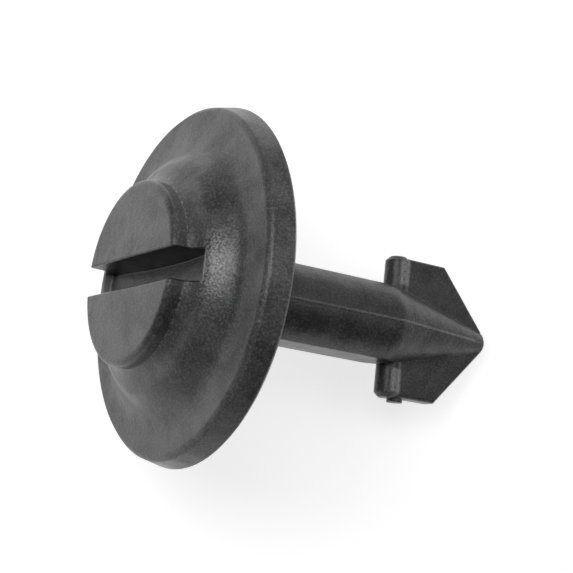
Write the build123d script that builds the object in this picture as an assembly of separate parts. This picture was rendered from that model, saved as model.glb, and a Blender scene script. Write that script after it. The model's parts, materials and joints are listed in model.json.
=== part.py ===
from build123d import *
import math
import os

os.makedirs("parts", exist_ok=True)

# Splash shield retainer: a quarter turn pin moulded in one piece of black plastic.
# A slotted boss stands on a bell that spreads into a round flange. Behind the flange
# runs a round shank with two flats, which ends in a cone between two flat wings.
# The pin is pushed through the shield and a slot in the body of the car, and a
# quarter turn brings the round beads of the wings behind the sheet.
#
# All sizes are in millimetres. The pin is drawn along X, from the head to the nose,
# with the front face of the flange at X = 0. The wings spread along Y and the driver
# slot runs along Z. At the end it is laid down in the way it comes to rest.

# Flange, a little narrower in front, so that the mould lets it go
FLANGE_DIAMETER = 30.0
FLANGE_DRAFT = 0.4
FLANGE_THICKNESS = 2.33
FLANGE_FRONT_CHAMFER = 0.4
FLANGE_BACK_CHAMFER = 0.3

# Bell in front of the flange: it leaves the boss at 45 degrees, forms a shelf around
# it and a round shoulder, and runs out softly into a narrow flat brim. The height of
# its flank is taken halfway between the shoulder and the brim
BELL_HEIGHT = 3.0
SHELF_FALL = 0.6
SHELF_WIDTH = 0.85
SHOULDER_HEIGHT = 1.85
SHOULDER_WIDTH = 2.3
FLANK_HEIGHT = 0.62
BRIM_WIDTH = 1.0

# Boss with the driver slot
BOSS_DIAMETER = 15.3
BOSS_HEIGHT = 1.32
BOSS_EDGE_ROUND = 0.5
SLOT_WIDTH = 2.5
SLOT_DEPTH = 3.72
SLOT_OVERRUN = 1.25
SLOT_FLOOR_RADIUS = 45.0
SLOT_EDGE_CHAMFER = 0.12

# Shank, cone and nose
SHANK_DIAMETER = 7.6
SHANK_FLAT_WIDTH = 6.62
SHANK_ROOT_CHAMFER = 0.6
SHANK_CONE_ROUND = 3.0
CONE_LENGTH = 11.0
NOSE_DIAMETER = 2.2
NOSE_CHAMFER = 0.25

# Wings, and the round beads that bear on the sheet, just behind the foot of the cone
GRIP_LENGTH = 18.4
CONE_LEAD = 0.43
BEAD_DIAMETER = 2.27
BEAD_SPAN = 12.6
BEAD_END_CHAMFER = 0.4
WING_SPAN = 12.4
WING_THICKNESS = 1.76
WING_LENGTH = 4.64
WING_NOSE_GAP = 0.5
WING_EDGE_ROUND = 0.3

# Gate mark, the stub left beside the end of one bead where the plastic came in
GATE_MARK_DIAMETER = 1.4
GATE_MARK_HEIGHT = 0.4
GATE_MARK_OFFSET = 0.9

# How flat an edge lies that is taken for one in the plane of the wings
NEAR = 0.01

SHANK_END_X = FLANGE_THICKNESS + GRIP_LENGTH - CONE_LEAD
CONE_END_X = SHANK_END_X + CONE_LENGTH
NOSE_X = CONE_END_X + NOSE_CHAMFER
BEAD_X = FLANGE_THICKNESS + GRIP_LENGTH + BEAD_DIAMETER / 2
FACE_X = -(BELL_HEIGHT + BOSS_HEIGHT)


def turned_form():
    """Boss, bell, flange, shank and cone, turned in one about X."""
    boss_r = BOSS_DIAMETER / 2
    flange_r = FLANGE_DIAMETER / 2
    front_r = flange_r - FLANGE_DRAFT
    foot_r = front_r - BRIM_WIDTH
    shoulder_r = boss_r + SHOULDER_WIDTH
    shank_r = SHANK_DIAMETER / 2
    nose_r = NOSE_DIAMETER / 2
    with BuildPart() as part:
        with BuildSketch(Plane.XZ):
            with BuildLine():
                FilletPolyline((FACE_X, 0), (FACE_X, boss_r), (-BELL_HEIGHT, boss_r), radius=BOSS_EDGE_ROUND)
                Spline(
                    (-BELL_HEIGHT, boss_r),
                    (SHELF_FALL - BELL_HEIGHT, boss_r + SHELF_WIDTH),
                    (-SHOULDER_HEIGHT, shoulder_r),
                    (-FLANK_HEIGHT, (shoulder_r + foot_r) / 2),
                    (0, foot_r),
                    tangents=[(1, 1), (0, 1)],
                )
                FilletPolyline(
                    (0, foot_r),
                    (0, front_r - FLANGE_FRONT_CHAMFER),
                    (FLANGE_FRONT_CHAMFER, front_r),
                    (FLANGE_THICKNESS - FLANGE_BACK_CHAMFER, flange_r),
                    (FLANGE_THICKNESS, flange_r - FLANGE_BACK_CHAMFER),
                    (FLANGE_THICKNESS, shank_r + SHANK_ROOT_CHAMFER),
                    (FLANGE_THICKNESS + SHANK_ROOT_CHAMFER, shank_r),
                    (SHANK_END_X, shank_r),
                    (CONE_END_X, nose_r),
                    (NOSE_X, nose_r - NOSE_CHAMFER),
                    (NOSE_X, 0),
                    radius=[0, 0, 0, 0, 0, 0, SHANK_CONE_ROUND, 0, 0],
                )
                Line((NOSE_X, 0), (FACE_X, 0))
            make_face()
        revolve(axis=Axis.X)
    return part.part


def flats():
    """Cutters for the flats along the two sides of the shank that carry the wings."""
    depth = SHANK_DIAMETER / 2
    block = Box(NOSE_X, depth, FLANGE_DIAMETER, align=(Align.MIN, Align.MIN, Align.CENTER))
    upper = Pos(FLANGE_THICKNESS, SHANK_FLAT_WIDTH / 2, 0) * block
    return upper + mirror(upper, Plane.XZ)


def cone_radius(x):
    """Radius of the cone at a place between the end of the shank and the nose."""
    share = (x - SHANK_END_X) / CONE_LENGTH
    return (SHANK_DIAMETER + (NOSE_DIAMETER - SHANK_DIAMETER) * share) / 2


def wings():
    """Arrow shaped blade that runs through the cone and stands out on both sides."""
    half = WING_SPAN / 2
    corner_x = BEAD_X + WING_LENGTH
    end_x = NOSE_X - WING_NOSE_GAP
    end_half = cone_radius(end_x)
    outline = Polygon(
        (BEAD_X, -half),
        (corner_x, -half),
        (end_x, -end_half),
        (end_x, end_half),
        (corner_x, half),
        (BEAD_X, half),
        align=None,
    )
    blade = extrude(outline, WING_THICKNESS / 2, both=True)
    outer = [edge for edge in blade.edges() if abs(edge.center().Y) > end_half and edge.center().X > BEAD_X]
    return fillet([edge for edge in outer if edge.bounding_box().size.Z < NEAR], WING_EDGE_ROUND)


def beads():
    """Round bar across the pin, whose ends are the beads behind the two wings."""
    bar = Cylinder(BEAD_DIAMETER / 2, BEAD_SPAN, rotation=(90, 0, 0))
    bar = chamfer(bar.edges().filter_by(GeomType.CIRCLE), BEAD_END_CHAMFER)
    return Pos(BEAD_X, 0, 0) * bar


def gate_mark():
    """Stub that stands out of the lower wing, close beside its bead."""
    reach = WING_SPAN / 2 + GATE_MARK_HEIGHT
    stub = Cylinder(GATE_MARK_DIAMETER / 2, reach, rotation=(90, 0, 0))
    return Pos(BEAD_X + GATE_MARK_OFFSET, -reach / 2, 0) * stub


def slot():
    """Cutter for the driver slot. It runs past the boss, ends squarely in the bell, and
    its floor curves up towards the two ends."""
    half = SLOT_WIDTH / 2
    mouth = half + SLOT_EDGE_CHAMFER
    floor_x = FACE_X + SLOT_DEPTH
    profile = Polygon(
        (floor_x, -half),
        (floor_x, half),
        (FACE_X + SLOT_EDGE_CHAMFER, half),
        (FACE_X, mouth),
        (FACE_X - BOSS_HEIGHT, mouth),
        (FACE_X - BOSS_HEIGHT, -mouth),
        (FACE_X, -mouth),
        (FACE_X + SLOT_EDGE_CHAMFER, -half),
        align=None,
    )
    straight = extrude(profile, BOSS_DIAMETER / 2 + SLOT_OVERRUN, both=True)
    disc = Cylinder(SLOT_FLOOR_RADIUS, 2 * mouth, rotation=(90, 0, 0))
    return straight & Pos(floor_x - SLOT_FLOOR_RADIUS, 0, 0) * disc


def pin():
    """The whole moulding, along X."""
    return turned_form() - flats() + wings() + beads() + gate_mark() - slot()


def rest_tilt():
    """Angle by which the nose drops until it and the back edge of the flange touch one plane."""
    along = CONE_END_X - (FLANGE_THICKNESS - FLANGE_BACK_CHAMFER)
    across = (FLANGE_DIAMETER - NOSE_DIAMETER) / 2
    return math.degrees(math.atan2(across, along))


def laid_down(solid):
    """Tip the pin onto its flange and nose, with the middle of its base at the origin."""
    tipped = Rot(0, rest_tilt(), 0) * solid
    box = tipped.bounding_box()
    return Pos(-box.center().X, -box.center().Y, -box.min.Z) * tipped


retainer = laid_down(pin())
retainer.label = "retainer"
export_step(retainer, "parts/retainer.step")
print("tilt", round(rest_tilt(), 3), "size", retainer.bounding_box().size)
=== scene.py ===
"""Splash shield retainer: its bell, its moulded finish, a plain studio and the camera.

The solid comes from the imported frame. This script shows it with a bell whose flank falls
more steeply, dresses it as black moulded plastic, adds the thin flash that the mould
leaves along its parting line, and lights it softly.
"""

import json
import logging
import math
from dataclasses import dataclass
from enum import Enum

import bpy
import numpy as np
from mathutils import Matrix, Vector


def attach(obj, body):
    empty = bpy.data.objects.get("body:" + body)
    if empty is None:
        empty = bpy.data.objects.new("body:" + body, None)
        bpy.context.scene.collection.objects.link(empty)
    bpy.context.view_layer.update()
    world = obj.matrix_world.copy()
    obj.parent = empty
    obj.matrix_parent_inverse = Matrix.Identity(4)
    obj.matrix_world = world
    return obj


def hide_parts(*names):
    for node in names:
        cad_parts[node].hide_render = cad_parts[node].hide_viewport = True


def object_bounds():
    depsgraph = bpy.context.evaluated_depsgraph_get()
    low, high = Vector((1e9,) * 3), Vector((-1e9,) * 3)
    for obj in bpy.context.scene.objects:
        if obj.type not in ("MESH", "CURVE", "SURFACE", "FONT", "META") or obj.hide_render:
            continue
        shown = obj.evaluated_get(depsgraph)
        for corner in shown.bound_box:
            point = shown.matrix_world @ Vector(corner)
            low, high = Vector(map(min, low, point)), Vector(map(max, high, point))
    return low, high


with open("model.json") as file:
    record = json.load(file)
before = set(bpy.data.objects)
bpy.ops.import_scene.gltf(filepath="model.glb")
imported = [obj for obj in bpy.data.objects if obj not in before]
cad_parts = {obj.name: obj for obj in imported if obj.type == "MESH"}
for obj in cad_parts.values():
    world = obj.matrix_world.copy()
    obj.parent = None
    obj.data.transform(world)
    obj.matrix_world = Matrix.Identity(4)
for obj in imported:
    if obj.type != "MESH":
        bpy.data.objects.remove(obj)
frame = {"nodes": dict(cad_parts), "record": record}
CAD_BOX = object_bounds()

log = logging.getLogger("retainer")

MM = 0.001
PHOTO_SIDE_PX = 573
WHITE = "#ffffff"


def linear(hex_colour: str) -> tuple[float, float, float, float]:
    """Turn an sRGB colour into the linear values that a shader takes.

    A share up to 0.04045 is divided by 12.92. A larger one has 0.055 added, is divided
    by 1.055 and is raised to the power 2.4.

    Args:
        hex_colour: six hex digits after a hash sign.

    Returns:
        Red, green, blue and an alpha of one.
    """
    shares = np.array([int(hex_colour[i:i + 2], 16) / 255 for i in (1, 3, 5)])
    values = np.where(shares <= 0.04045, shares / 12.92, ((shares + 0.055) / 1.055) ** 2.4)
    return (*values.tolist(), 1.0)


@dataclass(frozen=True)
class PinSizes:
    """Sizes of the solid that its bell, its finish and its flash follow.

    Attributes:
        flange_mm: thickness of the flange, behind which the seat lies.
        head_mm: from the front of the flange to the face of the boss.
        slot_half_mm: half the width of the driver slot.
        slot_reach_mm: from the axis to the slot's ends.
        shank_radius_mm: radius of the round shank.
        shank_end_mm: from the seat to the start of the cone.
        cone_length_mm: length of the cone up to the nose.
        nose_radius_mm: radius of the cone's end.
        bead_mm: from the seat to the middle of the beads.
        bead_inner_mm: from the axis to where the beads stand free.
    """

    flange_mm: float = 2.33
    head_mm: float = 4.32
    slot_half_mm: float = 1.25
    slot_reach_mm: float = 8.75
    shank_radius_mm: float = 3.8
    shank_end_mm: float = 17.97
    cone_length_mm: float = 11.0
    nose_radius_mm: float = 1.1
    bead_mm: float = 19.535
    bead_inner_mm: float = 3.9

    @property
    def front_mm(self) -> float:
        """Place of the flange's front face along the pin."""
        return -self.flange_mm


PIN = PinSizes()


@dataclass(frozen=True)
class PinAxes:
    """Where the pin's own axes lie in the frame, read from the record's mounts.

    Attributes:
        seat: the middle of the flange's back face.
        forward: the way from the head to the nose.
    """

    seat: np.ndarray
    forward: np.ndarray

    @classmethod
    def from_record(cls, record: dict) -> "PinAxes":
        """Find the axes from the seat and the place on the axis where the wings lock.

        Args:
            record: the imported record.

        Returns:
            The axes of the pin, in metres.
        """
        mounts = {mount["name"]: mount for mount in record["mounts"]}
        forward = np.array(mounts["seat"]["axis"], float)
        forward /= np.linalg.norm(forward)
        on_axis = np.array(mounts["wing_lock"]["pos_m"], float)
        on_face = np.array(mounts["seat"]["pos_m"], float)
        return cls(seat=on_axis - forward * np.dot(on_axis - on_face, forward), forward=forward)

    @property
    def basis(self) -> np.ndarray:
        """Rows for the ways along the pin, across its wings and out of their upper face."""
        across = np.array([0.0, 1.0, 0.0])
        return np.stack([self.forward, across, np.cross(self.forward, across)])

    @property
    def tilt(self) -> float:
        """Angle in radians by which the nose points below the level."""
        return math.atan2(-self.forward[2], self.forward[0])

    def points(self, local: np.ndarray) -> np.ndarray:
        """Places in the frame of points given in millimetres from the seat.

        Args:
            local: along, across and outward, as one row or as rows.

        Returns:
            X, Y and Z in metres, as one row or as rows.
        """
        return self.seat + MM * (local @ self.basis)


def add_node(
    tree: bpy.types.NodeTree, kind: str, links: dict[str | int, object] | None = None, **settings: object,
) -> bpy.types.Node:
    """Add one shader node with its settings and its links.

    Args:
        tree: the node tree that takes the node.
        kind: the node's type name.
        links: input name or number to a value, or to the output socket that feeds it.
        settings: properties of the node itself.

    Returns:
        The new node.
    """
    node = tree.nodes.new(kind)
    for name, value in settings.items():
        setattr(node, name, value)
    for name, value in (links or {}).items():
        if isinstance(value, bpy.types.NodeSocket):
            tree.links.new(value, node.inputs[name])
        else:
            node.inputs[name].default_value = value
    return node


def new_tree(name: str) -> tuple[bpy.types.Material, bpy.types.NodeTree]:
    """Start a material with an empty node tree.

    Args:
        name: the material's name.

    Returns:
        The material and its node tree.
    """
    material = bpy.data.materials.new(name)
    material.use_nodes = True
    material.node_tree.nodes.clear()
    return material, material.node_tree


class Way(Enum):
    """How a place on the pin is measured."""

    ALONG = "from the seat towards the nose"
    SIDEWAYS = "from the plane between the two wings"
    RADIUS = "from the pin's axis"


@dataclass(frozen=True)
class Places:
    """The places on the pin that the patterns follow, as sockets in metres.

    Attributes:
        spot: along from the seat, across and outward.
        measures: the distance in each way.
    """

    spot: bpy.types.NodeSocket
    measures: dict[Way, bpy.types.NodeSocket]

    @classmethod
    def on_pin(cls, tree: bpy.types.NodeTree, axes: PinAxes) -> "Places":
        """Work them out from the Object coordinates.

        Args:
            tree: the node tree.
            axes: the pin's axes.

        Returns:
            The places.
        """
        place = add_node(tree, "ShaderNodeTexCoord")
        turned = add_node(
            tree, "ShaderNodeMapping",
            {
                "Vector": place.outputs["Object"], "Location": axes.seat.tolist(),
                "Rotation": (0.0, axes.tilt, 0.0),
            },
            vector_type="TEXTURE",
        )
        spot = turned.outputs["Vector"]
        parts = add_node(tree, "ShaderNodeSeparateXYZ", {"Vector": spot})
        flat = {0: spot, 1: (0.0, 1.0, 1.0)}
        off_axis = add_node(tree, "ShaderNodeVectorMath", flat, operation="MULTIPLY")
        off = off_axis.outputs["Vector"]
        radius = add_node(tree, "ShaderNodeVectorMath", {0: off}, operation="LENGTH")
        sideways = add_node(tree, "ShaderNodeMath", {0: parts.outputs["Y"]}, operation="ABSOLUTE")
        measures = {
            Way.ALONG: parts.outputs["X"],
            Way.SIDEWAYS: sideways.outputs["Value"],
            Way.RADIUS: radius.outputs["Value"],
        }
        return cls(spot, measures)


@dataclass(frozen=True)
class Ramp:
    """Even change of one value with another, level before its start and after its end.

    Attributes:
        start: where the change starts.
        end: where it ends.
        at_start: the value up to the start.
        at_end: the value from the end on.
    """

    start: float
    end: float
    at_start: float = 0.0
    at_end: float = 1.0

    @property
    def inputs(self) -> dict[str, float]:
        """The ramp as the inputs of a node that maps one range to another."""
        return {
            "From Min": self.start, "From Max": self.end,
            "To Min": self.at_start, "To Max": self.at_end,
        }


@dataclass(frozen=True)
class Lumps:
    """Even random lumps in the colour or on the surface.

    Attributes:
        width_mm: how far apart they lie.
        detail: how many layers of finer lumps they have.
        depth_mm: how high they stand out.
        finer_share: strength of each finer layer against the one before.
    """

    width_mm: float
    detail: float
    depth_mm: float = 0.0
    finer_share: float = 0.55

    @property
    def inputs(self) -> dict[str, float]:
        """The lumps as the inputs of a noise node."""
        return {"Scale": 1 / (self.width_mm * MM), "Detail": self.detail, "Roughness": self.finer_share}


@dataclass(frozen=True)
class Band:
    """Stretch of one measure.

    Attributes:
        way: the measure.
        low_mm: where the stretch starts.
        high_mm: where it ends.
        soft_mm: width of the fall beyond both ends.
    """

    way: Way
    low_mm: float
    high_mm: float
    soft_mm: float

    def mark(self, tree: bpy.types.NodeTree, places: Places) -> bpy.types.NodeSocket:
        """Mark the stretch with one, falling evenly to nought beyond its ends.

        The distance from the middle decides: up to half the width the mark is one.

        Args:
            tree: the node tree.
            places: the places on the pin.

        Returns:
            The mark.
        """
        middle = (self.low_mm + self.high_mm) / 2 * MM
        half = (self.high_mm - self.low_mm) / 2 * MM
        measure = places.measures[self.way]
        off = add_node(tree, "ShaderNodeMath", {0: measure, 1: middle}, operation="SUBTRACT")
        gap = add_node(tree, "ShaderNodeMath", {0: off.outputs["Value"]}, operation="ABSOLUTE")
        fall = Ramp(start=half, end=half + self.soft_mm * MM, at_start=1.0, at_end=0.0)
        mark = add_node(tree, "ShaderNodeMapRange", {"Value": gap.outputs["Value"], **fall.inputs})
        return mark.outputs["Result"]


@dataclass(frozen=True)
class Patch:
    """Area of the skin where all of some bands meet.

    Attributes:
        bands: the bands that bound it.
        strength: the mark in its middle, from 0 to 1.
    """

    bands: tuple[Band, ...]
    strength: float = 1.0

    def mark(self, tree: bpy.types.NodeTree, places: Places) -> bpy.types.NodeSocket:
        """Mark the patch with its strength times the marks of its bands.

        Args:
            tree: the node tree.
            places: the places on the pin.

        Returns:
            The mark.
        """
        share = self.strength
        for band in self.bands:
            factors = {0: band.mark(tree, places), 1: share}
            share = add_node(tree, "ShaderNodeMath", factors, operation="MULTIPLY").outputs["Value"]
        return share


@dataclass(frozen=True)
class DriverSlotPaintedShade:
    """Painted shade on the walls and floor of the driver slot, into which little light gets.

    Attributes:
        colour: the colour of the painted shade, which the skin turns to.
        head: all that stands in front of the flange.
        floor: the slot's floor, clear of the walls and of the rise towards its ends.
        walls: its long walls, with a little to both sides of them.
    """

    # Painted shade on the slot's walls and floor
    colour: str = "#0e0e0f"
    head: Band = Band(Way.ALONG, low_mm=PIN.front_mm - PIN.head_mm, high_mm=PIN.front_mm, soft_mm=0.05)
    floor: Patch = Patch(
        bands=(
            Band(Way.SIDEWAYS, low_mm=0, high_mm=PIN.slot_half_mm - 0.2, soft_mm=0.1),
            Band(Way.RADIUS, low_mm=0, high_mm=PIN.slot_reach_mm - 1.2, soft_mm=0.6),
        ),
        strength=0.4,
    )
    walls: Patch = Patch(
        bands=(
            Band(
                Way.SIDEWAYS, low_mm=PIN.slot_half_mm - 0.1, high_mm=PIN.slot_half_mm + 0.1,
                soft_mm=0.05,
            ),
            Band(Way.RADIUS, low_mm=0, high_mm=PIN.slot_reach_mm, soft_mm=0.05),
        ),
        strength=0.97,
    )

    def mark(self, tree: bpy.types.NodeTree, places: Places) -> bpy.types.NodeSocket:
        """Mark the painted shade of the floor or the walls, whichever is stronger, in front of the flange.

        Args:
            tree: the node tree.
            places: the places on the pin.

        Returns:
            The mark, from 0 to 1.
        """
        marks = {0: self.floor.mark(tree, places), 1: self.walls.mark(tree, places)}
        either = add_node(tree, "ShaderNodeMath", marks, operation="MAXIMUM")
        marks = {0: either.outputs["Value"], 1: self.head.mark(tree, places)}
        return add_node(tree, "ShaderNodeMath", marks, operation="MULTIPLY").outputs["Value"]


@dataclass(frozen=True)
class WearAndPaintedHighlights:
    """Pale places: partly scuffed in handling and in use, partly painted highlights.

    Attributes:
        edges: pale edges, partly scuffed and partly painted highlight, by the dot product of the softened
            and the true normal.
        specks: how the grain's noise breaks up the pale edges and the painted highlight beside the slot.
        streaks: how the grain's noise breaks up the painted highlight on the beads.
        painted_highlight_beside_slot: painted highlight on the bell's shoulder beside each end of the
            slot.
        painted_highlight_slot_ends: painted highlight on the bell just past the end walls of the slot.
        painted_highlight_on_beads: painted highlight on the crest of the beads and their side towards the
            nose.
        painted_highlight_parting_line: painted highlight along the crest of the flash on the mould's seam
            on shank and cone.
    """

    # Pale edges, partly scuffed and partly painted highlight
    edges: Ramp = Ramp(start=0.99, end=0.82, at_end=0.9)
    specks: Ramp = Ramp(start=0.44, end=0.57)
    streaks: Ramp = Ramp(start=0.35, end=0.55, at_start=0.4)
    # Painted highlight on the bell's shoulder beside each end of the slot
    painted_highlight_beside_slot: Patch = Patch(
        bands=(
            Band(Way.RADIUS, low_mm=9.35, high_mm=10.05, soft_mm=0.8),
            Band(Way.SIDEWAYS, low_mm=0, high_mm=1.1, soft_mm=1.9),
            Band(Way.ALONG, low_mm=PIN.front_mm - 3.9, high_mm=PIN.front_mm - 0.1, soft_mm=0.1),
        ),
        strength=0.7,
    )
    # Painted highlight on the bell just past the end walls of the slot
    painted_highlight_slot_ends: Patch = Patch(
        bands=(
            Band(
                Way.RADIUS, low_mm=PIN.slot_reach_mm + 0.11, high_mm=PIN.slot_reach_mm + 0.29,
                soft_mm=0.02,
            ),
            Band(Way.SIDEWAYS, low_mm=0, high_mm=PIN.slot_half_mm, soft_mm=0.05),
            Band(Way.ALONG, low_mm=PIN.front_mm - 2.4, high_mm=PIN.front_mm - 0.6, soft_mm=0.05),
        ),
        strength=0.85,
    )
    # Painted highlight on the crest of the beads and their side towards the nose
    painted_highlight_on_beads: Patch = Patch(
        bands=(
            Band(Way.ALONG, low_mm=PIN.bead_mm - 0.2, high_mm=PIN.bead_mm + 0.6, soft_mm=0.3),
            Band(Way.SIDEWAYS, low_mm=PIN.bead_inner_mm, high_mm=PIN.bead_inner_mm + 1.8, soft_mm=0.3),
        ),
    )
    # Painted highlight along the crest of the parting flash
    painted_highlight_parting_line: Patch = Patch(
        bands=(
            Band(Way.SIDEWAYS, low_mm=0, high_mm=0.06, soft_mm=0.06),
            Band(Way.ALONG, low_mm=2.0, high_mm=28.0, soft_mm=1.0),
        ),
        strength=0.4,
    )

    def mark(
        self, tree: bpy.types.NodeTree, places: Places, grain: bpy.types.NodeSocket,
        soft: bpy.types.NodeSocket,
    ) -> bpy.types.NodeSocket:
        """Mark how pale each place is, by the strongest of its scuffs and painted highlights.

        An edge is where the softened normal leaves the true one.

        Args:
            tree: the node tree.
            places: the places on the pin.
            grain: the grain's noise, which breaks up the paleness.
            soft: the softened normal.

        Returns:
            The paleness, from 0 to 1.
        """
        true = add_node(tree, "ShaderNodeNewGeometry").outputs["Normal"]
        turn = add_node(tree, "ShaderNodeVectorMath", {0: soft, 1: true}, operation="DOT_PRODUCT")
        edges = add_node(tree, "ShaderNodeMapRange", {"Value": turn.outputs["Value"], **self.edges.inputs})
        specks = add_node(tree, "ShaderNodeMapRange", {"Value": grain, **self.specks.inputs})
        streaks = add_node(tree, "ShaderNodeMapRange", {"Value": grain, **self.streaks.inputs})
        # The painted highlight beside the slot, with the pale edges that are partly scuffed and partly
        # painted highlight
        pale_edges_and_shoulder = add_node(
            tree, "ShaderNodeMath",
            {0: self.painted_highlight_beside_slot.mark(tree, places), 1: edges.outputs["Result"]}, operation="MAXIMUM",
        )
        specked = add_node(
            tree, "ShaderNodeMath",
            {0: pale_edges_and_shoulder.outputs["Value"], 1: specks.outputs["Result"]}, operation="MULTIPLY",
        )
        # Painted highlight on the beads, broken into streaks by the grain
        streaked = add_node(
            tree, "ShaderNodeMath",
            {0: self.painted_highlight_on_beads.mark(tree, places), 1: streaks.outputs["Result"]}, operation="MULTIPLY",
        )
        wear_and_highlights = specked.outputs["Value"]
        # Painted highlights past the slot's ends and on the parting flash, not broken up by the grain
        smooth = (self.painted_highlight_slot_ends.mark(tree, places), self.painted_highlight_parting_line.mark(tree, places))
        for other in (streaked.outputs["Value"], *smooth):
            stronger = add_node(tree, "ShaderNodeMath", {0: wear_and_highlights, 1: other}, operation="MAXIMUM")
            wear_and_highlights = stronger.outputs["Value"]
        return wear_and_highlights


@dataclass(frozen=True)
class MouldedPolypropylene:
    """Black polypropylene, injection moulded in a spark eroded mould.

    The eye sees a dark grey with a dull sheen, a fine even grain all over with painted glints,
    paler scuffs and painted highlights, and painted shade on the walls of the driver slot.

    Attributes:
        base: colour of the skin.
        pale: colour of the painted glints on the grains, of scuffs and of painted highlights.
        deep: colour of the darker clouds in the skin.
        ior: index of refraction, typical of polypropylene.
        grain: the mould's texture. The real grain is finer than the picture can show,
            so it is drawn as coarse as it needs to show.
        cloud: the soft clouds in the colour and in the dullness.
        ripple: the faint unevenness of the skin.
        clouded: where the clouds' noise takes the skin from the deep to the base colour.
        dullness: roughness by the clouds' noise, close to 0.33 all over.
        painted_grain_glints: share of the pale colour by the grain's noise, painted glints on the grains.
        edge_mm: reach of the softened edges, and of the pale edges that are partly scuffed and partly
            painted highlight.
        edge_rays: how many rays look for an edge near each place.
        wear_and_highlights: pale places, partly scuffed and partly painted highlights.
        slot: painted shade on the walls and floor of the driver slot.
    """

    base: str = "#4a4a4b"
    pale: str = "#9c9c9c"
    deep: str = "#313132"
    ior: float = 1.49
    grain: Lumps = Lumps(width_mm=0.18, detail=2.0, depth_mm=0.03)
    cloud: Lumps = Lumps(width_mm=2.4, detail=3.0)
    ripple: Lumps = Lumps(width_mm=1.1, detail=1.0, depth_mm=0.045)
    clouded: Ramp = Ramp(start=0.35, end=0.6)
    dullness: Ramp = Ramp(start=0.35, end=0.65, at_start=0.37, at_end=0.29)
    painted_grain_glints: Ramp = Ramp(start=0.45, end=0.7, at_end=0.24)
    edge_mm: float = 0.24
    edge_rays: int = 6
    wear_and_highlights: WearAndPaintedHighlights = WearAndPaintedHighlights()
    slot: DriverSlotPaintedShade = DriverSlotPaintedShade()

    def material(self, axes: PinAxes) -> bpy.types.Material:
        """Build the node tree.

        Args:
            axes: the pin's axes, which the patterns follow.

        Returns:
            The finished material.
        """
        material, tree = new_tree("moulded_polypropylene")
        places = Places.on_pin(tree, axes)
        grain, cloud, ripple = (
            add_node(tree, "ShaderNodeTexNoise", {"Vector": places.spot, **lumps.inputs}).outputs["Fac"]
            for lumps in (self.grain, self.cloud, self.ripple)
        )
        rounded = add_node(tree, "ShaderNodeBevel", {"Radius": self.edge_mm * MM}, samples=self.edge_rays)
        normal = rounded.outputs["Normal"]
        rubbed_and_highlit = self.wear_and_highlights.mark(tree, places, grain, normal)
        colour = self.colour(tree, grain, cloud, rubbed_and_highlit, self.slot.mark(tree, places))
        dull = add_node(tree, "ShaderNodeMapRange", {"Value": cloud, **self.dullness.inputs})
        for height, lumps in ((ripple, self.ripple), (grain, self.grain)):
            tilt = {"Height": height, "Distance": lumps.depth_mm * MM, "Normal": normal}
            normal = add_node(tree, "ShaderNodeBump", tilt).outputs["Normal"]
        shader = add_node(
            tree, "ShaderNodeBsdfPrincipled",
            {
                "Base Color": colour, "Roughness": dull.outputs["Result"], "IOR": self.ior,
                "Normal": normal,
            },
        )
        add_node(tree, "ShaderNodeOutputMaterial", {"Surface": shader.outputs["BSDF"]})
        return material

    def colour(
        self, tree: bpy.types.NodeTree, grain: bpy.types.NodeSocket, cloud: bpy.types.NodeSocket,
        rubbed_and_highlit: bpy.types.NodeSocket, painted_slot_shade: bpy.types.NodeSocket,
    ) -> bpy.types.NodeSocket:
        """Clouded skin, then painted glints, scuffs and painted highlights, then the slot's painted shade.

        Args:
            tree: the node tree.
            grain: the grain's noise.
            cloud: the clouds' noise.
            rubbed_and_highlit: how pale each place is, from scuffs and painted highlights.
            painted_slot_shade: how much painted shade of the slot each place gets.

        Returns:
            The colour.
        """
        skin = add_node(tree, "ShaderNodeValToRGB", {"Fac": cloud})
        stops = ((self.clouded.start, self.deep), (self.clouded.end, self.base))
        for element, (position, shade) in zip(skin.color_ramp.elements, stops):
            element.position = position
            element.color = linear(shade)
        # Painted glints on the grains, by the grain's noise, even all over
        grain_glints = add_node(tree, "ShaderNodeMapRange", {"Value": grain, **self.painted_grain_glints.inputs})
        colour = skin.outputs["Color"]
        # Painted glints, then scuffs with painted highlights, then the slot's painted shade
        layers = ((grain_glints.outputs["Result"], self.pale), (rubbed_and_highlit, self.pale), (painted_slot_shade, self.slot.colour))
        for share, shade in layers:
            layer = {"Factor": share, 6: colour, 7: linear(shade)}
            colour = add_node(tree, "ShaderNodeMix", layer, data_type="RGBA").outputs[2]
        return colour


@dataclass(frozen=True)
class PaleTable:
    """Matt white table top, which the camera sees as white except in the shadow.

    Attributes:
        base: colour of the table.
        glow: share of white that the camera sees on top of the light on the table.
    """

    base: str = "#cccccc"
    glow: float = 0.76

    def material(self) -> bpy.types.Material:
        """Build the node tree, in which the rays that show the table add the glow to it.

        Returns:
            The finished material.
        """
        material, tree = new_tree("pale_table")
        matt = add_node(tree, "ShaderNodeBsdfDiffuse", {"Color": linear(self.base)})
        white = add_node(tree, "ShaderNodeEmission", {"Color": linear(WHITE), "Strength": self.glow})
        glowing = {0: matt.outputs["BSDF"], 1: white.outputs["Emission"]}
        both = add_node(tree, "ShaderNodeAddShader", glowing)
        ray = add_node(tree, "ShaderNodeLightPath")
        seen = ray.outputs["Is Camera Ray"]
        for kind in ("Is Glossy Ray", "Is Transmission Ray"):
            either = add_node(tree, "ShaderNodeMath", {0: seen, 1: ray.outputs[kind]}, operation="MAXIMUM")
            seen = either.outputs["Value"]
        surface = add_node(
            tree, "ShaderNodeMixShader", {0: seen, 1: matt.outputs["BSDF"], 2: both.outputs["Shader"]},
        )
        add_node(tree, "ShaderNodeOutputMaterial", {"Surface": surface.outputs["Shader"]})
        return material


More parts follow.
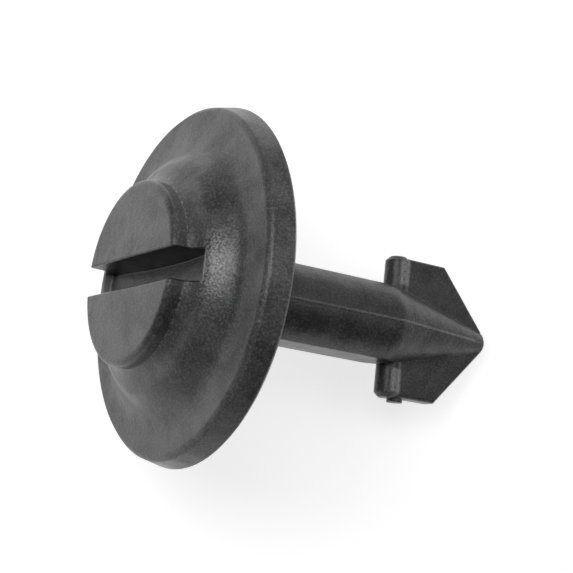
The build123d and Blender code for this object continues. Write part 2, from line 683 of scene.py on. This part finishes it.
def new_mesh(
    name: str, points: np.ndarray, faces: list[list[int]], material: bpy.types.Material,
) -> bpy.types.Object:
    """Make a smooth mesh object at the origin from points in the frame.

    Args:
        name: the object's name.
        points: rows of X, Y and Z in metres.
        faces: lists of point numbers, turned so that the faces point outwards.
        material: the finish of every face.

    Returns:
        The new object, linked to the scene.
    """
    mesh = bpy.data.meshes.new(name)
    mesh.from_pydata(points.tolist(), [], faces)
    mesh.materials.append(material)
    mesh.update()
    mesh.polygons.foreach_set("use_smooth", np.ones(len(mesh.polygons), bool))
    thing = bpy.data.objects.new(name, mesh)
    bpy.context.scene.collection.objects.link(thing)
    return thing


def tube_faces(rings: int, around: int) -> list[list[int]]:
    """Faces of a closed tube, whose rings of points follow each other, with flat ends.

    Args:
        rings: how many rings the tube has.
        around: how many points each ring has.

    Returns:
        Four cornered side faces and two end faces.
    """
    ring, step = np.meshgrid(np.arange(rings - 1), np.arange(around), indexing="ij")
    here = ring * around + step
    beside = ring * around + (step + 1) % around
    sides = np.stack([here, here + around, beside + around, beside], -1).reshape(-1, 4)
    first = list(range(around))
    last = list(range((rings - 1) * around, rings * around))[::-1]
    return sides.tolist() + [first, last]


@dataclass(frozen=True)
class Moulding:
    """The whole moulding, whose bell falls more steeply from its shoulder than the solid's.

    Attributes:
        flange_mm: thickness of the flange, whose front face the bell stands on.
        shoulder_mm: radius where the steeper fall starts.
        foot_mm: radius where it ends.
        left_at_foot: share of the solid's height that is left from there outwards.
        on_axis_mm: distance from the axis under which a point has no way outwards.
        merge_decimals: decimals of a millimetre in which points agree that are one.
    """

    flange_mm: float = PIN.flange_mm
    shoulder_mm: float = 9.0
    foot_mm: float = 11.8
    left_at_foot: float = 0.25
    on_axis_mm: float = 0.001
    merge_decimals: int = 4

    def share(self, radius: np.ndarray) -> tuple[np.ndarray, np.ndarray]:
        """Share of the solid's height at a radius, and how fast it changes there.

        From the shoulder to the foot, with t going from 0 to 1, the share falls from
        1 by the smooth step 3 t squared less 2 t cubed, times what is lost at the foot.

        Args:
            radius: distances from the pin's axis, in millimetres.

        Returns:
            The shares, and their slopes for each millimetre.
        """
        run = self.foot_mm - self.shoulder_mm
        t = np.clip((radius - self.shoulder_mm) / run, 0, 1)
        lost = 1 - self.left_at_foot
        return 1 - lost * t**2 * (3 - 2 * t), -lost * 6 * t * (1 - t) / run

    def reshape(self, local: np.ndarray, normals: np.ndarray) -> tuple[np.ndarray, np.ndarray]:
        """Lower the bell's flank, and turn its normals with it.

        In front of the flange, the height s over its front face becomes s times the
        share w at that radius. With e the way along and r the way outwards, a normal n
        becomes w n + (1 - w) (n e) e - s w' (n e) r, at length one.

        Args:
            local: rows of along, across and outward, in millimetres from the seat.
            normals: the normals there, in the same order.

        Returns:
            The new places and the new normals.
        """
        height = np.minimum(local[:, 0] + self.flange_mm, 0)
        radius = np.maximum(np.hypot(local[:, 1], local[:, 2]), self.on_axis_mm)
        share, slope = self.share(radius)
        along = np.array([1.0, 0.0, 0.0])
        outwards = local * np.array([0.0, 1.0, 1.0]) / radius[:, None]
        places = local + (height * (share - 1))[:, None] * along
        share = np.where(height < 0, share, 1)
        forward = normals[:, :1]
        turned = share[:, None] * normals + (1 - share)[:, None] * forward * along
        turned = turned - (height * slope)[:, None] * forward * outwards
        return places, turned / np.linalg.norm(turned, axis=1, keepdims=True)

    def build(
        self, axes: PinAxes, solid: bpy.types.Object, material: bpy.types.Material,
    ) -> bpy.types.Object:
        """Make the moulding from the solid's own faces, merged, with the new flank.

        Args:
            axes: the pin's axes.
            solid: the CAD solid, which stays as it is.
            material: the finish of every face.

        Returns:
            The moulding's object.
        """
        points = np.empty((len(solid.data.vertices), 3))
        corners = np.empty(len(solid.data.loops), int)
        normals = np.empty((len(corners), 3))
        solid.data.vertices.foreach_get("co", points.ravel())
        solid.data.loops.foreach_get("vertex_index", corners)
        solid.data.corner_normals.foreach_get("vector", normals.ravel())
        local = (points - axes.seat) @ axes.basis.T / MM
        _, turned = self.reshape(local[corners], normals @ axes.basis.T)
        merged, index = np.unique(local.round(self.merge_decimals), axis=0, return_inverse=True)
        places, _ = self.reshape(merged, np.broadcast_to([1.0, 0.0, 0.0], merged.shape))
        # A triangle that the merging has closed up is dropped
        triangles = index.ravel()[corners].reshape(-1, 3)
        whole = (triangles != np.roll(triangles, 1, axis=1)).all(axis=1)
        thing = new_mesh("moulding", axes.points(places), triangles[whole].tolist(), material)
        corner_normals = (turned @ axes.basis).reshape(-1, 3, 3)[whole].reshape(-1, 3)
        thing.data.normals_split_custom_set(corner_normals.tolist())
        return thing


class Face(Enum):
    """The face of the wings on which a parting line runs, as the sign of its way out."""

    UPPER = 1
    LOWER = -1


@dataclass(frozen=True)
class PartingFlash:
    """Thin ridges that the meeting mould halves leave along the shank and the cone.

    Attributes:
        pin: sizes of the shank and the cone that they follow.
        start_mm: from the seat to the start of the ridge.
        nose_gap_mm: how far the ridge stops short of the nose.
        width_mm: width of the ridge on the surface.
        height_mm: how far it stands out at most.
        foot_mm: how far the feet of its arch lie in the plastic.
        sunk_mm: how far its underside lies in the plastic.
        waver: share of the height by which it wavers.
        waver_rates: how fast the two waves that it wavers by run, in radians per mm.
        run_out_mm: length over which it runs out at each end.
        stations: how many sections the ridge has.
        top_points: how many points the arch of a section has.
    """

    pin: PinSizes = PIN
    start_mm: float = 1.2
    nose_gap_mm: float = 1.2
    width_mm: float = 0.3
    height_mm: float = 0.085
    foot_mm: float = 0.004
    sunk_mm: float = 0.08
    waver: float = 0.25
    waver_rates: tuple[float, float] = (1.7, 0.61)
    run_out_mm: float = 1.5
    stations: int = 160
    top_points: int = 7

    def radius(self, along: np.ndarray) -> np.ndarray:
        """Distance of the surface from the axis: level on the shank, then falling evenly."""
        share = np.clip((along - self.pin.shank_end_mm) / self.pin.cone_length_mm, 0, 1)
        return self.pin.shank_radius_mm + (self.pin.nose_radius_mm - self.pin.shank_radius_mm) * share

    def lift(self, along: np.ndarray, end_mm: float, side: Face) -> np.ndarray:
        """Height of the ridge along it.

        The height is lessened by the waver's share, and that share times the product
        of two sine waves is put back. It runs out evenly at both ends.

        Args:
            along: distances from the seat, in millimetres.
            end_mm: from the seat to the end of the ridge.
            side: the face of the wings, which shifts the first wave.

        Returns:
            The heights, in millimetres.
        """
        first, second = self.waver_rates
        waves = np.sin(along * first + side.value) * np.sin(along * second)
        run_out = np.clip(np.minimum(along - self.start_mm, end_mm - along) / self.run_out_mm, 0, 1)
        return self.height_mm * (1 - self.waver + self.waver * waves) * run_out

    def build(self, axes: PinAxes, side: Face, material: bpy.types.Material) -> bpy.types.Object:
        """Make the ridge on one side.

        Its section is a low arch, height times the squared cosine across the width,
        over a flat underside that lies in the plastic. The section is carried along
        the surface.

        Args:
            axes: the pin's axes.
            side: the face of the wings on whose side it runs.
            material: the finish of the ridge.

        Returns:
            The ridge's object.
        """
        end_mm = self.pin.shank_end_mm + self.pin.cone_length_mm - self.nose_gap_mm
        along = np.linspace(self.start_mm, end_mm, self.stations)
        across = np.linspace(-0.5, 0.5, self.top_points)
        arch = self.lift(along, end_mm, side)[:, None] * np.cos(np.pi * across)[None, :] ** 2
        surface = self.radius(along)[:, None]
        row, spread = along[:, None], across[None, :] * self.width_mm
        top = np.stack(np.broadcast_arrays(row, spread, surface + arch - self.foot_mm), -1)
        under = np.stack(np.broadcast_arrays(row, spread[:, [-1, 0]], surface - self.sunk_mm), -1)
        rings = np.concatenate([top, under], axis=1)
        if side is Face.LOWER:
            rings = rings * np.array([1, -1, -1])
        points = axes.points(rings.reshape(-1, 3))
        faces = tube_faces(self.stations, rings.shape[1])
        return new_mesh(f"parting_flash_{side.name.lower()}", points, faces, material)


@dataclass(frozen=True)
class Retainer:
    """The retainer as it is seen: the moulding in the solid's place, and the flash on it.

    Attributes:
        axes: the pin's axes in the frame.
        finish: the finish of the plastic.
        moulding: the moulding with its bell.
        flash: the ridges along the parting line.
    """

    axes: PinAxes
    finish: MouldedPolypropylene = MouldedPolypropylene()
    moulding: Moulding = Moulding()
    flash: PartingFlash = PartingFlash()

    def dress(self, nodes: dict[str, bpy.types.Object]) -> list[bpy.types.Object]:
        """Put the moulding in the solid's place and add the flash.

        Args:
            nodes: the CAD nodes by name.

        Returns:
            The pieces.
        """
        material = self.finish.material(self.axes)
        moulding = self.moulding.build(self.axes, nodes["retainer"], material)
        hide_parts("retainer")
        pieces = [moulding, *(self.flash.build(self.axes, side, material) for side in Face)]
        for piece in pieces:
            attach(piece, "root")
        return pieces


@dataclass(frozen=True)
class SoftLight:
    """A square lamp that faces the pin.

    Attributes:
        name: the lamp's name.
        azimuth_deg: the way to the lamp, turned from the frame's X towards its Y.
        elevation_deg: height of the lamp over the table, seen from the pin.
        power_w: its power.
        distance_mm: from the pin to the lamp.
        side_mm: length of the lamp's side.
    """

    name: str
    azimuth_deg: float
    elevation_deg: float
    power_w: float
    distance_mm: float = 180.0
    side_mm: float = 100.0

    @property
    def way(self) -> Vector:
        """The way from the pin to the lamp."""
        turn, rise = math.radians(self.azimuth_deg), math.radians(self.elevation_deg)
        return Vector((math.cos(rise) * math.cos(turn), math.cos(rise) * math.sin(turn), math.sin(rise)))

    def place(self, target: Vector) -> bpy.types.Object:
        """Put the lamp into the scene, hidden from the camera.

        Args:
            target: the place in the frame that it faces.

        Returns:
            The lamp's object.
        """
        data = bpy.data.lights.new(self.name, "AREA")
        data.size = self.side_mm * MM
        data.energy = self.power_w
        lamp = bpy.data.objects.new(self.name, data)
        lamp.location = target + self.way * self.distance_mm * MM
        lamp.rotation_mode = "QUATERNION"
        lamp.rotation_quaternion = self.way.to_track_quat("Z", "Y")
        lamp.visible_camera = False
        bpy.context.scene.collection.objects.link(lamp)
        return lamp


@dataclass(frozen=True)
class Studio:
    """Pale table and soft lamps, with white behind the table and no other light.

    Attributes:
        lights: the lamps.
        table_mm: length of the table's side.
        table: finish of the table.
    """

    lights: tuple[SoftLight, ...] = (
        SoftLight("key_over_the_head", azimuth_deg=161, elevation_deg=50, power_w=0.128),
        SoftLight("over_the_nose", azimuth_deg=18, elevation_deg=48, power_w=0.055),
        SoftLight("overhead", azimuth_deg=120, elevation_deg=68, power_w=0.066),
        SoftLight("low_beside_the_nose", azimuth_deg=60, elevation_deg=28, power_w=0.032),
        SoftLight("low_below_the_picture", azimuth_deg=270, elevation_deg=6, power_w=0.018),
        SoftLight("low_before_the_head", azimuth_deg=225, elevation_deg=6, power_w=0.006),
    )
    table_mm: float = 1600.0
    table: PaleTable = PaleTable()

    def build(self, target: Vector) -> list[bpy.types.Object]:
        """Set up the table, the lamps and the white behind the table.

        Args:
            target: the middle of the pin, which the lamps face.

        Returns:
            The table and the lamps.
        """
        half = self.table_mm * MM / 2
        corners = np.array([[-half, -half, 0], [half, -half, 0], [half, half, 0], [-half, half, 0]])
        floor = new_mesh("table", corners, [[0, 1, 2, 3]], self.table.material())
        self.hang_backdrop()
        return [floor, *(light.place(target) for light in self.lights)]

    def hang_backdrop(self) -> None:
        """Show white where the camera sees past the table, without light on the pin.

        Glossy rays see none of it, because it would turn all of the dull skin pale.
        """
        world = bpy.data.worlds.new("sky")
        world.use_nodes = True
        tree = world.node_tree
        tree.nodes.clear()
        ray = add_node(tree, "ShaderNodeLightPath")
        seen = add_node(
            tree, "ShaderNodeMath",
            {0: ray.outputs["Is Camera Ray"], 1: ray.outputs["Is Transmission Ray"]}, operation="MAXIMUM",
        )
        white = add_node(
            tree, "ShaderNodeBackground", {"Color": linear(WHITE), "Strength": seen.outputs["Value"]},
        )
        add_node(tree, "ShaderNodeOutputWorld", {"Surface": white.outputs["Background"]})
        bpy.context.scene.world = world


@dataclass(frozen=True)
class Viewpoint:
    """Camera that sees the pin as the photograph does.

    Its place and its ways are given along the pin's own axes: along from the head to
    the nose, across over the wings, and outward from their upper face.

    Attributes:
        eye_mm: place of the camera, from the seat.
        right: the way to the right of the picture.
        above: the way to the top of the picture.
        focal_px: focal length, in pixels of the photograph.
        sensor_mm: width of the camera's sensor.
        near_mm: distance from which on it sees things.
        far_mm: distance up to which it sees things.
    """

    eye_mm: tuple[float, float, float] = (-58.94, -22.61, 112.12)
    right: tuple[float, float, float] = (0.8437, 0.1004, 0.5274)
    above: tuple[float, float, float] = (-0.1806, 0.9782, 0.1028)
    focal_px: float = 1565.76
    sensor_mm: float = 36.0
    near_mm: float = 1.0
    far_mm: float = 5000.0

    def place(self, axes: PinAxes) -> bpy.types.Object:
        """Make the camera and give it to the scene.

        The way above is made square to the way right, and both are made one long.

        Args:
            axes: the pin's axes in the frame.

        Returns:
            The camera's object.
        """
        data = bpy.data.cameras.new("camera")
        data.sensor_width = self.sensor_mm
        data.lens = self.sensor_mm * self.focal_px / PHOTO_SIDE_PX
        data.clip_start = self.near_mm * MM
        data.clip_end = self.far_mm * MM
        right = np.array(self.right) @ axes.basis
        right /= np.linalg.norm(right)
        above = np.array(self.above) @ axes.basis
        above -= right * np.dot(above, right)
        above /= np.linalg.norm(above)
        turn = Matrix(np.stack([right, above, np.cross(right, above)], axis=1).tolist())
        camera = bpy.data.objects.new("camera", data)
        camera.matrix_world = Matrix.Translation(axes.points(np.array(self.eye_mm))) @ turn.to_4x4()
        bpy.context.scene.collection.objects.link(camera)
        bpy.context.scene.camera = camera
        return camera


def main() -> None:
    """Dress the retainer, build the studio, place the camera and report each of them."""
    logging.basicConfig(level=logging.INFO, format="%(message)s")
    bpy.context.scene.view_settings.view_transform = "Standard"
    axes = PinAxes.from_record(frame["record"])
    pieces = Retainer(axes).dress(frame["nodes"])
    studio = Studio().build((CAD_BOX[0] + CAD_BOX[1]) / 2)
    for thing in (*pieces, *studio, Viewpoint().place(axes)):
        log.info("%s: %s", thing.name, thing.type.lower())


if __name__ == "__main__":
    main()
